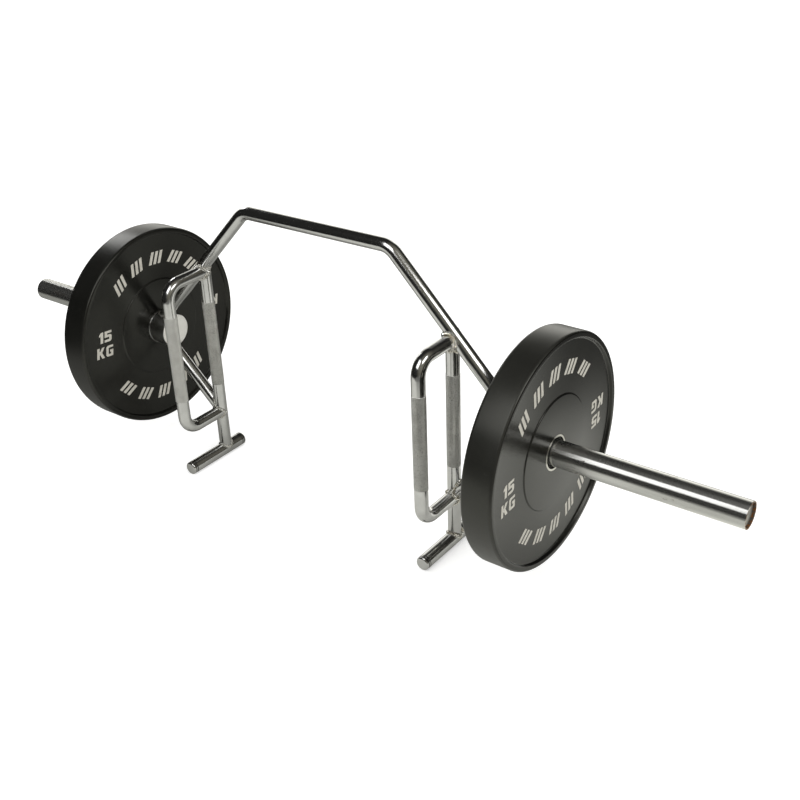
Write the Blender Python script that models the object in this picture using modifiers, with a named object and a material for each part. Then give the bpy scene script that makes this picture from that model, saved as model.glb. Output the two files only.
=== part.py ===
"""Open-ended trap bar standing on its two T-shaped feet, with one pair of bumper plates.

Metres, +Z up.  The origin is on the floor, midway between the feet.  X runs along the two
sleeves, the U-shaped handles stand off towards -Y, and the posts lie in the plane Y = 0.
A bent main tube runs over the lifter from hub to hub.  Each side has a post with a knurled
grip, a U-shaped handle with a second grip, a lower brace and a foot.  Each hub carries a
spindle, and a loading sleeve turns on the spindle in two bushes.
"""

import math

import bmesh
import bpy
from mathutils import Vector

# Fits
CLEARANCE = 0.0003
CUT_OVERRUN = 0.030
SADDLE_OVERRUN = 0.0008

# Frame tube and knurled grips
TUBE_DIAMETER = 0.027
TUBE_WALL = 0.003
GRIP_SWELL = 0.001
GRIP_LENGTH = 0.200
GRIP_STEP = 0.0006
TUBE_SIDES = 16

# Main tube, measured from the sleeve axis and the middle of the bar
BAR_RISE = 0.3225
BAR_HALF_LENGTH = 0.182
BAR_BEND_RADIUS = 0.042
BAR_ON_HUB = 0.0226
BEND_STEP_ANGLE = math.radians(18.0)

# Posts, handles and braces
POST_X = 0.318
HANDLE_OFFSET = 0.110
HANDLE_BELOW_BAR = 0.0132
HANDLE_DROP = 0.171
HANDLE_BEND_RADIUS = 0.034
HANDLE_GRIP_RISE = 0.004
BRACE_DROP = 0.1655
BRACE_ON_HUB = 0.0189

# Feet
FOOT_DIAMETER = 0.029
FOOT_WALL = 0.003
FOOT_DROP = 0.268
FOOT_FRONT = 0.1145
FOOT_BACK = 0.052
FOOT_CAP_LENGTH = 0.012
FOOT_CAP_ROUND = 0.003
FOOT_SPIGOT_LENGTH = 0.010

# Hub at the end of the frame, and the spindle it holds
HUB_FACE_X = 0.436
HUB_RADIUS = 0.037
HUB_LENGTH = 0.042
HUB_CHAMFER = 0.0015
HUB_FLOOR = 0.006
SPINDLE_RADIUS = 0.015
SPINDLE_CHAMFER = 0.0015

# Loading sleeve
SLEEVE_END_X = 0.897
SLEEVE_RADIUS = 0.025
SLEEVE_WALL = 0.0045
BUSH_SEAT_WALL = 0.0035
CAP_SEAT_WALL = 0.0028
SLEEVE_CHAMFER = 0.001
SHOULDER_RADIUS = 0.038
SHOULDER_LENGTH = 0.004
SHOULDER_CHAMFER = 0.001

# Bushes, washers, retaining rings and end cap
BUSH_LENGTH = 0.030
THRUST_WASHER_INSET = 0.003
THRUST_WASHER_THICKNESS = 0.0015
SHAFT_WASHER_PLAY = 0.001
SHAFT_WASHER_THICKNESS = 0.002
RING_WIRE = 0.0018
RING_GAP_ANGLE = math.radians(38.0)
CAP_THICKNESS = 0.004
CAP_RECESS = 0.009
CAP_TO_SPINDLE = 0.002
SPINDLE_TAIL = 0.003

# Bumper plate and the steel insert in its middle
PLATE_RADIUS = 0.225
PLATE_THICKNESS = 0.062
PLATE_EDGE_DEPTH = 0.0065
PLATE_EDGE_HEIGHT = 0.0045
PLATE_LIP_WIDTH = 0.007
PLATE_LIP_SLOPE = 0.0025
PLATE_FACE_RECESS = 0.0075
BOSS_RADIUS = 0.1105
BOSS_RECESS = 0.004
BOSS_SLOPE = 0.0015
INSERT_WALL = 0.0037
INSERT_FLANGE_WIDTH = 0.0057
INSERT_FLANGE_THICKNESS = 0.0035
INSERT_CHAMFER = 0.003
EDGE_STEPS = 3

# Facets round turned pieces
PLATE_FACETS = 36
SLEEVE_FACETS = 24
SMALL_FACETS = 20
RING_STEPS = 16
RING_SIDES = 6

# Worked out from the sizes above
TUBE_RADIUS = TUBE_DIAMETER / 2
GRIP_RADIUS = (TUBE_DIAMETER + GRIP_SWELL) / 2
FOOT_RADIUS = FOOT_DIAMETER / 2
RING_RADIUS = RING_WIRE / 2
AXIS_HEIGHT = FOOT_DROP + FOOT_RADIUS
HUB_DEPTH_FOR_TUBES = HUB_RADIUS / 3
BAR_SLOPE = (BAR_RISE - HUB_RADIUS) / (HUB_FACE_X + BAR_ON_HUB - BAR_HALF_LENGTH)
BRACE_SLOPE = (BRACE_DROP - HUB_RADIUS) / (HUB_FACE_X + BRACE_ON_HUB - POST_X)
SLEEVE_BORE_RADIUS = SLEEVE_RADIUS - SLEEVE_WALL
BUSH_SEAT_RADIUS = SLEEVE_RADIUS - BUSH_SEAT_WALL
CAP_SEAT_RADIUS = SLEEVE_RADIUS - CAP_SEAT_WALL
THRUST_WASHER_RADIUS = HUB_RADIUS - THRUST_WASHER_INSET
SHAFT_WASHER_RADIUS = BUSH_SEAT_RADIUS - SHAFT_WASHER_PLAY
INSERT_BORE_RADIUS = SLEEVE_RADIUS + CLEARANCE
INSERT_TUBE_RADIUS = INSERT_BORE_RADIUS + INSERT_WALL
INSERT_FLANGE_RADIUS = INSERT_TUBE_RADIUS + INSERT_FLANGE_WIDTH

# Stations along the sleeve axis, outward from the hub's inner face
SLEEVE_END = SLEEVE_END_X - HUB_FACE_X
WASHER_START = HUB_LENGTH + CLEARANCE
SLEEVE_START = WASHER_START + THRUST_WASHER_THICKNESS + CLEARANCE
SHOULDER_END = SLEEVE_START + SHOULDER_LENGTH
PLATE_START = SHOULDER_END + CLEARANCE - BOSS_RECESS
CAP_FACE = SLEEVE_END - CAP_RECESS
CAP_BACK = CAP_FACE - CAP_THICKNESS
CAP_RING_CENTRE = CAP_FACE + CLEARANCE + RING_RADIUS
SPINDLE_END = CAP_BACK - CAP_TO_SPINDLE
SHAFT_RING_CENTRE = SPINDLE_END - SPINDLE_TAIL - RING_RADIUS
SHAFT_WASHER_END = SHAFT_RING_CENTRE - RING_RADIUS - CLEARANCE
SHAFT_WASHER_START = SHAFT_WASHER_END - SHAFT_WASHER_THICKNESS
OUTER_BUSH_END = SHAFT_WASHER_START - CLEARANCE
OUTER_BUSH_START = OUTER_BUSH_END - BUSH_LENGTH

SIDES = (("right", 1), ("left", -1))
DOWN = Vector((0.0, 0.0, -1.0))


# Scene helpers

def clear_scene():
    for item in list(bpy.data.objects):
        bpy.data.objects.remove(item, do_unlink=True)


def new_collection(name):
    group = bpy.data.collections.new(name)
    bpy.context.scene.collection.children.link(group)
    return group


def new_material(name, colour, metallic, roughness):
    finish = bpy.data.materials.new(name)
    finish.use_nodes = True
    shader = finish.node_tree.nodes["Principled BSDF"]
    shader.inputs["Base Color"].default_value = (*colour, 1.0)
    shader.inputs["Metallic"].default_value = metallic
    shader.inputs["Roughness"].default_value = roughness
    finish.diffuse_color = (*colour, 1.0)
    return finish


def add_object(name, data, group, finish=None):
    item = bpy.data.objects.new(name, data)
    group.objects.link(item)
    if finish is not None:
        data.materials.append(finish)
    return item


def make_cutter(item):
    item.hide_render = True
    item.display_type = "WIRE"
    return item


def cut(item, *cutters):
    for cutter in cutters:
        step = item.modifiers.new(cutter.name, "BOOLEAN")
        step.operation = "DIFFERENCE"
        step.solver = "EXACT"
        step.object = cutter


def shade(item):
    item.data.shade_smooth()
    item.data.set_sharp_from_angle(angle=math.radians(35.0))


# Turned pieces

def turned(name, outline, facets, group, finish=None):
    """Closed ring outline of (radius, height) points, outer side downwards, turned about Z."""
    shape = bmesh.new()
    corners = [shape.verts.new((radius, 0.0, height)) for radius, height in outline]
    for first, second in zip(corners, corners[1:]):
        shape.edges.new((first, second))
    if outline[0][0] > 0.0:
        shape.edges.new((corners[-1], corners[0]))
    data = bpy.data.meshes.new(name)
    shape.to_mesh(data)
    shape.free()
    item = add_object(name, data, group, finish)
    spin = item.modifiers.new("turn", "SCREW")
    spin.steps = facets
    spin.render_steps = facets
    spin.use_merge_vertices = True
    spin.merge_threshold = 0.00001
    spin.use_smooth_shade = True
    return item


def on_axis(item, axis, station):
    """Stand a turned piece on a sleeve axis, its own +Z pointing outward."""
    item.parent = axis
    item.location = (0.0, 0.0, station)


def sleeve_axis(side, sign, group):
    axis = add_object("axis_" + side, None, group)
    axis.location = (sign * HUB_FACE_X, 0.0, AXIS_HEIGHT)
    axis.rotation_euler = (0.0, sign * math.pi / 2, 0.0)
    axis.empty_display_size = 0.05
    return axis


def chamfered(radius, length, chamfer):
    """Outer side of a turned piece from its far end down to its near end."""
    return [
        (radius - chamfer, length),
        (radius, length - chamfer),
        (radius, chamfer),
        (radius - chamfer, 0.0),
    ]


def solid_turned(outer_side):
    top = outer_side[0][1]
    bottom = outer_side[-1][1]
    return [(0.0, top), *outer_side, (0.0, bottom)]


# Tubes along a route

def arc_corner(before, corner, after, radius):
    """Points of the arc that rounds one corner of a route."""
    back = (before - corner).normalized()
    ahead = (after - corner).normalized()
    half = back.angle(ahead) / 2
    centre = corner + (back + ahead).normalized() * (radius / math.sin(half))
    start = corner + back * (radius / math.tan(half))
    spoke = start - centre
    turn_axis = ahead.cross(back).normalized()
    sweep = math.pi - 2 * half
    steps = math.ceil(sweep / BEND_STEP_ANGLE - 0.001)
    points = []
    for step in range(steps + 1):
        turn = sweep * step / steps
        swung = spoke * math.cos(turn) + turn_axis.cross(spoke) * math.sin(turn)
        points.append(centre + swung)
    return points


def rounded_route(corners, radius):
    route = [corners[0]]
    for before, corner, after in zip(corners, corners[1:], corners[2:]):
        route.extend(arc_corner(before, corner, after, radius))
    route.append(corners[-1])
    return route


def tube_mesh(name, route, radius, group, finish=None, widths=None, capped=True, sides=TUBE_SIDES):
    """A round tube along a route of points, as a mesh."""
    curve = bpy.data.curves.new(name + "_route", "CURVE")
    curve.dimensions = "3D"
    curve.bevel_depth = radius
    curve.bevel_resolution = (sides - 4) // 2
    curve.use_fill_caps = capped
    line = curve.splines.new("POLY")
    line.points.add(len(route) - 1)
    for index, place in enumerate(route):
        line.points[index].co = (*place, 1.0)
        line.points[index].radius = 1.0 if widths is None else widths[index]
    guide = bpy.data.objects.new(name + "_route", curve)
    group.objects.link(guide)
    bpy.context.view_layer.update()
    seen = guide.evaluated_get(bpy.context.evaluated_depsgraph_get())
    data = bpy.data.meshes.new_from_object(seen)
    data.name = name
    shape = bmesh.new()
    shape.from_mesh(data)
    bmesh.ops.remove_doubles(shape, verts=shape.verts, dist=0.00001)
    if capped:
        bmesh.ops.recalc_face_normals(shape, faces=shape.faces)
    shape.to_mesh(data)
    shape.free()
    data.materials.clear()
    item = add_object(name, data, group, finish)
    item.matrix_world = guide.matrix_world
    bpy.data.objects.remove(guide, do_unlink=True)
    return item


def tube_cutter(name, route, radius, group):
    return make_cutter(tube_mesh(name, route, radius + CLEARANCE, group))


def hollow_tube(name, route, radius, wall, group, finish, widths=None):
    item = tube_mesh(name, route, radius, group, finish, widths, capped=False)
    skin = item.modifiers.new("wall", "SOLIDIFY")
    skin.thickness = wall
    skin.offset = -1.0
    skin.use_rim = True
    skin.use_even_offset = True
    shade(item)
    return item


def with_grip(middle, ahead):
    """Points and widths of the stretch of a straight run that swells to the knurled grip."""
    swell = GRIP_RADIUS / TUBE_RADIUS
    half = GRIP_LENGTH / 2
    stops = (
        (-half - GRIP_STEP, 1.0),
        (-half, swell),
        (half, swell),
        (half + GRIP_STEP, 1.0),
    )
    route = [middle + ahead * distance for distance, width in stops]
    return route, [width for distance, width in stops]


# Routes, all relative to the sleeve axis height

def at(x, y, rise):
    return Vector((x, y, AXIS_HEIGHT + rise))


def diagonal_rise(x):
    """Height of the diagonal's axis above the sleeve axis at a distance from the middle."""
    return BAR_RISE - (x - BAR_HALF_LENGTH) * BAR_SLOPE


def main_route():
    end = BAR_HALF_LENGTH + (BAR_RISE - HUB_DEPTH_FOR_TUBES) / BAR_SLOPE
    corners = [
        at(-end, 0.0, HUB_DEPTH_FOR_TUBES),
        at(-BAR_HALF_LENGTH, 0.0, BAR_RISE),
        at(BAR_HALF_LENGTH, 0.0, BAR_RISE),
        at(end, 0.0, HUB_DEPTH_FOR_TUBES),
    ]
    return rounded_route(corners, BAR_BEND_RADIUS)


def post_route(sign):
    top = at(sign * POST_X, 0.0, diagonal_rise(POST_X))
    bottom = at(sign * POST_X, 0.0, -FOOT_DROP)
    grip, widths = with_grip(at(sign * POST_X, 0.0, 0.0), DOWN)
    return [top, *grip, bottom], [1.0, *widths, 1.0]


def handle_route(sign):
    x = sign * POST_X
    top = diagonal_rise(POST_X) - HANDLE_BELOW_BAR
    corners = [
        at(x, 0.0, top),
        at(x, -HANDLE_OFFSET, top),
        at(x, -HANDLE_OFFSET, -HANDLE_DROP),
        at(x, 0.0, -HANDLE_DROP),
    ]
    route = rounded_route(corners, HANDLE_BEND_RADIUS)
    grip, widths = with_grip(at(x, -HANDLE_OFFSET, HANDLE_GRIP_RISE), DOWN)
    half = len(route) // 2
    return (
        route[:half] + grip + route[half:],
        [1.0] * half + widths + [1.0] * (len(route) - half),
    )


def lower_arm_route(sign):
    """The handle's lower arm, which ends on the post beside the brace."""
    x = sign * POST_X
    return [
        at(x, -HANDLE_OFFSET / 2, -HANDLE_DROP),
        at(x, SADDLE_OVERRUN, -HANDLE_DROP),
    ]


def brace_route(sign):
    rise = -HUB_DEPTH_FOR_TUBES
    reach = (rise + BRACE_DROP) / BRACE_SLOPE
    return [
        at(sign * POST_X, 0.0, -BRACE_DROP),
        at(sign * (POST_X + reach), 0.0, rise),
    ]


def foot_route(sign, shorten=0.0):
    x = sign * POST_X
    return [
        at(x, -FOOT_FRONT + shorten, -FOOT_DROP),
        at(x, FOOT_BACK - shorten, -FOOT_DROP),
    ]


# Frame

def build_cutters(group):
    cutters = {"main": tube_cutter("cut_main_tube", main_route(), TUBE_RADIUS, group)}
    for side, sign in SIDES:
        post = post_route(sign)[0]
        cutters["post_" + side] = tube_cutter("cut_post_" + side, [post[0], post[-1]], TUBE_RADIUS, group)
        cutters["foot_" + side] = tube_cutter("cut_foot_" + side, foot_route(sign), FOOT_RADIUS, group)
        cutters["arm_" + side] = tube_cutter("cut_arm_" + side, lower_arm_route(sign), TUBE_RADIUS, group)
        hub = turned("cut_hub_" + side, solid_turned(hub_room()), SLEEVE_FACETS, group)
        hub.location = (sign * HUB_FACE_X, 0.0, AXIS_HEIGHT)
        hub.rotation_euler = (0.0, sign * math.pi / 2, 0.0)
        cutters["hub_" + side] = make_cutter(hub)
    return cutters


def hub_room():
    """Outer side of the space that the tubes leave free for the hub and for what turns beside it."""
    beside = HUB_RADIUS + TUBE_DIAMETER
    return [
        (beside, HUB_LENGTH + CUT_OVERRUN),
        (beside, HUB_LENGTH),
        (HUB_RADIUS + CLEARANCE, HUB_LENGTH),
        (HUB_RADIUS + CLEARANCE, -CUT_OVERRUN),
    ]


def build_main_tube(group, chrome, cutters):
    item = hollow_tube("main_tube", main_route(), TUBE_RADIUS, TUBE_WALL, group, chrome)
    cut(item, cutters["hub_right"], cutters["hub_left"])


def build_post(side, sign, group, chrome, cutters):
    route, widths = post_route(sign)
    item = hollow_tube("post_" + side, route, TUBE_RADIUS, TUBE_WALL, group, chrome, widths)
    cut(item, cutters["main"], cutters["foot_" + side])


def build_handle(side, sign, group, chrome, cutters):
    route, widths = handle_route(sign)
    item = hollow_tube("u_handle_" + side, route, TUBE_RADIUS, TUBE_WALL, group, chrome, widths)
    cut(item, cutters["main"], cutters["post_" + side])


def build_brace(side, sign, group, chrome, cutters):
    item = hollow_tube("brace_" + side, brace_route(sign), TUBE_RADIUS, TUBE_WALL, group, chrome)
    cut(item, cutters["arm_" + side], cutters["post_" + side], cutters["hub_" + side])


def build_foot(side, sign, group, chrome):
    reach = FOOT_CAP_LENGTH + CLEARANCE
    hollow_tube("foot_tube_" + side, foot_route(sign, reach), FOOT_RADIUS, FOOT_WALL, group, chrome)
    for end, place, turn in (("front", -FOOT_FRONT, -1), ("back", FOOT_BACK, 1)):
        cap = turned("foot_cap_%s_%s" % (end, side), foot_cap_outline(), TUBE_SIDES, group, chrome)
        cap.location = at(sign * POST_X, place, -FOOT_DROP)
        cap.rotation_euler = (-turn * math.pi / 2, 0.0, 0.0)
        shade(cap)


def foot_cap_outline():
    """Closed end of a foot: a rounded cap with a spigot that enters the tube."""
    spigot = FOOT_RADIUS - FOOT_WALL - CLEARANCE
    rounding = []
    for step in range(EDGE_STEPS + 1):
        turn = math.pi / 2 * step / EDGE_STEPS
        rounding.append((
            FOOT_RADIUS - FOOT_CAP_ROUND * (1.0 - math.sin(turn)),
            FOOT_CAP_ROUND * (math.cos(turn) - 1.0),
        ))
    return [
        (0.0, 0.0),
        *rounding,
        (FOOT_RADIUS, -FOOT_CAP_LENGTH),
        (spigot, -FOOT_CAP_LENGTH),
        (spigot, -FOOT_CAP_LENGTH - FOOT_SPIGOT_LENGTH),
        (0.0, -FOOT_CAP_LENGTH - FOOT_SPIGOT_LENGTH),
    ]


# Hub, spindle and sleeve

def hub_outline():
    seat = SPINDLE_RADIUS + CLEARANCE
    return [
        (0.0, HUB_FLOOR),
        (seat, HUB_FLOOR),
        (seat, HUB_LENGTH),
        *chamfered(HUB_RADIUS, HUB_LENGTH, HUB_CHAMFER),
        (0.0, 0.0),
    ]


def spindle_outline():
    groove_radius = SPINDLE_RADIUS - RING_RADIUS - CLEARANCE
    groove_half = RING_RADIUS + CLEARANCE
    return [
        (0.0, SPINDLE_END),
        (SPINDLE_RADIUS - SPINDLE_CHAMFER, SPINDLE_END),
        (SPINDLE_RADIUS, SPINDLE_END - SPINDLE_CHAMFER),
        (SPINDLE_RADIUS, SHAFT_RING_CENTRE + groove_half),
        (groove_radius, SHAFT_RING_CENTRE + groove_half),
        (groove_radius, SHAFT_RING_CENTRE - groove_half),
        (SPINDLE_RADIUS, SHAFT_RING_CENTRE - groove_half),
        (SPINDLE_RADIUS, HUB_FLOOR + CLEARANCE),
        (0.0, HUB_FLOOR + CLEARANCE),
    ]


def sleeve_outline():
    groove_radius = CAP_SEAT_RADIUS + RING_RADIUS + CLEARANCE
    groove_half = RING_RADIUS + CLEARANCE
    return [
        (CAP_SEAT_RADIUS, SLEEVE_END),
        (SLEEVE_RADIUS - SLEEVE_CHAMFER, SLEEVE_END),
        (SLEEVE_RADIUS, SLEEVE_END - SLEEVE_CHAMFER),
        (SLEEVE_RADIUS, SHOULDER_END),
        (SHOULDER_RADIUS - SHOULDER_CHAMFER, SHOULDER_END),
        (SHOULDER_RADIUS, SHOULDER_END - SHOULDER_CHAMFER),
        (SHOULDER_RADIUS, SLEEVE_START + SHOULDER_CHAMFER),
        (SHOULDER_RADIUS - SHOULDER_CHAMFER, SLEEVE_START),
        (BUSH_SEAT_RADIUS, SLEEVE_START),
        (BUSH_SEAT_RADIUS, SLEEVE_START + BUSH_LENGTH + CLEARANCE),
        (SLEEVE_BORE_RADIUS, SLEEVE_START + BUSH_LENGTH + CLEARANCE),
        (SLEEVE_BORE_RADIUS, OUTER_BUSH_START - CLEARANCE),
        (BUSH_SEAT_RADIUS, OUTER_BUSH_START - CLEARANCE),
        (BUSH_SEAT_RADIUS, CAP_BACK - CLEARANCE),
        (CAP_SEAT_RADIUS, CAP_BACK - CLEARANCE),
        (CAP_SEAT_RADIUS, CAP_RING_CENTRE - groove_half),
        (groove_radius, CAP_RING_CENTRE - groove_half),
        (groove_radius, CAP_RING_CENTRE + groove_half),
        (CAP_SEAT_RADIUS, CAP_RING_CENTRE + groove_half),
    ]


def ring_outline(inner, outer, start, end):
    return [(inner, end), (outer, end), (outer, start), (inner, start)]


def wire_ring(name, radius, station, axis, group, finish):
    """An open snap ring of round wire, its gap towards the axis empty's own +X."""
    sweep = 2 * math.pi - RING_GAP_ANGLE
    route = []
    for step in range(RING_STEPS + 1):
        turn = RING_GAP_ANGLE / 2 + sweep * step / RING_STEPS
        route.append(Vector((radius * math.cos(turn), radius * math.sin(turn), 0.0)))
    item = tube_mesh(name, route, RING_RADIUS, group, finish, sides=RING_SIDES)
    on_axis(item, axis, station)
    shade(item)


def build_hub(side, axis, group, looks):
    hub = turned("hub_" + side, hub_outline(), SLEEVE_FACETS, group, looks["chrome"])
    on_axis(hub, axis, 0.0)
    spindle = turned("spindle_" + side, spindle_outline(), SMALL_FACETS, group, looks["steel"])
    on_axis(spindle, axis, 0.0)
    washer = turned(
        "thrust_washer_" + side,
        ring_outline(SPINDLE_RADIUS + CLEARANCE, THRUST_WASHER_RADIUS, 0.0, THRUST_WASHER_THICKNESS),
        SMALL_FACETS,
        group,
        looks["nylon"],
    )
    on_axis(washer, axis, WASHER_START)
    stop = turned(
        "shaft_washer_" + side,
        ring_outline(SPINDLE_RADIUS + CLEARANCE, SHAFT_WASHER_RADIUS, 0.0, SHAFT_WASHER_THICKNESS),
        SMALL_FACETS,
        group,
        looks["steel"],
    )
    on_axis(stop, axis, SHAFT_WASHER_START)
    wire_ring("shaft_ring_" + side, SPINDLE_RADIUS, SHAFT_RING_CENTRE, axis, group, looks["steel"])


def build_sleeve(side, axis, group, looks):
    sleeve = turned("sleeve_" + side, sleeve_outline(), SLEEVE_FACETS, group, looks["chrome"])
    on_axis(sleeve, axis, 0.0)
    bush = ring_outline(SPINDLE_RADIUS + CLEARANCE, BUSH_SEAT_RADIUS - CLEARANCE, 0.0, BUSH_LENGTH)
    inner = turned("inner_bush_" + side, bush, SMALL_FACETS, group, looks["bronze"])
    on_axis(inner, axis, SLEEVE_START)
    outer = turned("outer_bush_" + side, bush, SMALL_FACETS, group, looks["bronze"])
    on_axis(outer, axis, OUTER_BUSH_START)
    cap_edge = [(CAP_SEAT_RADIUS - CLEARANCE, CAP_THICKNESS), (CAP_SEAT_RADIUS - CLEARANCE, 0.0)]
    cap = turned("end_cap_" + side, solid_turned(cap_edge), SMALL_FACETS, group, looks["cap"])
    on_axis(cap, axis, CAP_BACK)
    wire_ring("cap_ring_" + side, CAP_SEAT_RADIUS, CAP_RING_CENTRE, axis, group, looks["rust"])


# Bumper plate

def plate_face(height):
    """Half of the plate's outline on one face, from the insert out to the tread.

    Heights are measured inward from the plane of the lip.
    """
    crest_outer = PLATE_RADIUS - PLATE_EDGE_HEIGHT
    crest_inner = crest_outer - PLATE_LIP_WIDTH
    points = [
        (INSERT_FLANGE_RADIUS + CLEARANCE, BOSS_RECESS),
        (BOSS_RADIUS - BOSS_SLOPE, BOSS_RECESS),
        (BOSS_RADIUS, PLATE_FACE_RECESS),
        (crest_inner - PLATE_LIP_SLOPE, PLATE_FACE_RECESS),
        (crest_inner, 0.0),
    ]
    for step in range(EDGE_STEPS + 1):
        turn = math.pi / 2 * step / EDGE_STEPS
        points.append((
            crest_outer + PLATE_EDGE_HEIGHT * math.sin(turn),
            PLATE_EDGE_DEPTH * (1.0 - math.cos(turn)),
        ))
    return [(radius, height(depth)) for radius, depth in points]


def rubber_outline():
    """Closed outline of the rubber, with the seat for the insert on its inner side."""
    outer_face = plate_face(lambda depth: PLATE_THICKNESS - depth)
    inner_face = plate_face(lambda depth: depth)
    seat = BOSS_RECESS + INSERT_FLANGE_THICKNESS + CLEARANCE
    return [
        *outer_face,
        *reversed(inner_face),
        (INSERT_FLANGE_RADIUS + CLEARANCE, seat),
        (INSERT_TUBE_RADIUS + CLEARANCE, seat),
        (INSERT_TUBE_RADIUS + CLEARANCE, PLATE_THICKNESS - seat),
        (INSERT_FLANGE_RADIUS + CLEARANCE, PLATE_THICKNESS - seat),
    ]


def insert_outline():
    """Steel spool in the middle of the plate, its bore opened by a chamfer at both mouths."""
    top = PLATE_THICKNESS - BOSS_RECESS
    bottom = BOSS_RECESS
    mouth = INSERT_BORE_RADIUS + INSERT_CHAMFER
    return [
        (mouth, top),
        (INSERT_FLANGE_RADIUS, top),
        (INSERT_FLANGE_RADIUS, top - INSERT_FLANGE_THICKNESS),
        (INSERT_TUBE_RADIUS, top - INSERT_FLANGE_THICKNESS),
        (INSERT_TUBE_RADIUS, bottom + INSERT_FLANGE_THICKNESS),
        (INSERT_FLANGE_RADIUS, bottom + INSERT_FLANGE_THICKNESS),
        (INSERT_FLANGE_RADIUS, bottom),
        (mouth, bottom),
        (INSERT_BORE_RADIUS, bottom + INSERT_CHAMFER),
        (INSERT_BORE_RADIUS, top - INSERT_CHAMFER),
    ]


def build_plate(side, axis, group, looks):
    rubber = turned("plate_rubber_" + side, rubber_outline(), PLATE_FACETS, group, looks["rubber"])
    on_axis(rubber, axis, PLATE_START)
    insert = turned("plate_insert_" + side, insert_outline(), SLEEVE_FACETS, group, looks["insert"])
    on_axis(insert, axis, PLATE_START)


def build_looks():
    return {
        "chrome": new_material("chrome", (0.62, 0.62, 0.60), 1.0, 0.12),
        "steel": new_material("plain steel", (0.45, 0.45, 0.46), 1.0, 0.35),
        "bronze": new_material("bronze", (0.55, 0.36, 0.16), 1.0, 0.40),
        "nylon": new_material("black nylon", (0.02, 0.02, 0.02), 0.0, 0.50),
        "cap": new_material("zinc cap", (0.42, 0.42, 0.40), 1.0, 0.40),
        "rust": new_material("rusted wire", (0.16, 0.06, 0.02), 0.2, 0.80),
        "rubber": new_material("black rubber", (0.045, 0.045, 0.042), 0.0, 0.45),
        "insert": new_material("zinc insert", (0.62, 0.60, 0.55), 1.0, 0.30),
    }


def main():
    clear_scene()
    parts = new_collection("open_trap_bar")
    tools = new_collection("cutters")
    looks = build_looks()
    cutters = build_cutters(tools)
    build_main_tube(parts, looks["chrome"], cutters)
    for side, sign in SIDES:
        axis = sleeve_axis(side, sign, parts)
        build_post(side, sign, parts, looks["chrome"], cutters)
        build_handle(side, sign, parts, looks["chrome"], cutters)
        build_brace(side, sign, parts, looks["chrome"], cutters)
        build_foot(side, sign, parts, looks["chrome"])
        build_hub(side, axis, parts, looks)
        build_sleeve(side, axis, parts, looks)
        build_plate(side, axis, parts, looks)


main()
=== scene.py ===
"""Looks of the open-ended trap bar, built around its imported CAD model.

Metres, +Z up, in the frame of the CAD model.  X runs along the sleeves, the U-shaped handles
stand off towards -Y, and the posts lie in the plane Y = 0.  The outer solids are replaced by
finer pieces that follow the same sizes: coped tubes with their weld beads, knurled grips, turned
hubs and sleeves with softened edges, and bumper plates with raised markings.  The parts inside
the sleeves and the rings in their mouths stay as the CAD has them and only get their materials.
"""

import math
from collections import namedtuple

import bmesh
import bpy
from mathutils import Matrix, Vector, noise


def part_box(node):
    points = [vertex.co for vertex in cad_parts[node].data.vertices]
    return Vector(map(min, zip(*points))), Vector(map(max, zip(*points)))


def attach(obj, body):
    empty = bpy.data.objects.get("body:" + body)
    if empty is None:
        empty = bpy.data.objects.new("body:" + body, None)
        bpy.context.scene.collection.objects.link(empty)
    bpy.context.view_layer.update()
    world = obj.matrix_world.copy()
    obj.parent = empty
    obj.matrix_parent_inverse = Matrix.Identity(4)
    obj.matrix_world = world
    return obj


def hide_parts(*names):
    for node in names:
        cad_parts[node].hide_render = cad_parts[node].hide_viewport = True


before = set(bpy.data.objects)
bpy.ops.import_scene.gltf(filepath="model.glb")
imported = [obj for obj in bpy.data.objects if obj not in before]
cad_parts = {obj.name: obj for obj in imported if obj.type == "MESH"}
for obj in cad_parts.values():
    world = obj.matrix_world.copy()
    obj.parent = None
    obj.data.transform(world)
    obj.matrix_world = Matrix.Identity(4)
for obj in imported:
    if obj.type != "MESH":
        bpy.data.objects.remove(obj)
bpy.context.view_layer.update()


SIDES = (("right", 1), ("left", -1))
DOWN = Vector((0.0, 0.0, -1.0))

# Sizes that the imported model's boxes give
hub_low, hub_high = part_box("hub_right")
HUB_FACE_X = hub_low.x
HUB_END_X = hub_high.x
HUB_RADIUS = (hub_high.z - hub_low.z) / 2
AXIS_HEIGHT = (hub_high.z + hub_low.z) / 2

main_low, main_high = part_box("main_tube")
TUBE_RADIUS = (main_high.y - main_low.y) / 2
BAR_RISE = main_high.z - TUBE_RADIUS - AXIS_HEIGHT

post_low, post_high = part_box("post_right")
POST_X = (post_low.x + post_high.x) / 2
GRIP_RADIUS = (post_high.x - post_low.x) / 2

handle_low, handle_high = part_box("u_handle_right")
HANDLE_OFFSET = -handle_low.y - GRIP_RADIUS
HANDLE_TOP = handle_high.z - TUBE_RADIUS - AXIS_HEIGHT
HANDLE_DROP = AXIS_HEIGHT - handle_low.z - TUBE_RADIUS

cap_low, cap_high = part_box("foot_cap_front_right")
FOOT_RADIUS = (cap_high.x - cap_low.x) / 2
FOOT_DROP = AXIS_HEIGHT - (cap_high.z + cap_low.z) / 2
FOOT_FRONT = -cap_low.y
FOOT_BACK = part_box("foot_cap_back_right")[1].y

sleeve_low, sleeve_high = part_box("sleeve_right")
SHOULDER_X = sleeve_low.x
SLEEVE_END_X = sleeve_high.x
SHOULDER_RADIUS = (sleeve_high.z - sleeve_low.z) / 2

plate_low, plate_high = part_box("plate_rubber_right")
PLATE_INNER_X = plate_low.x
PLATE_OUTER_X = plate_high.x
PLATE_RADIUS = (plate_high.z - plate_low.z) / 2

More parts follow.
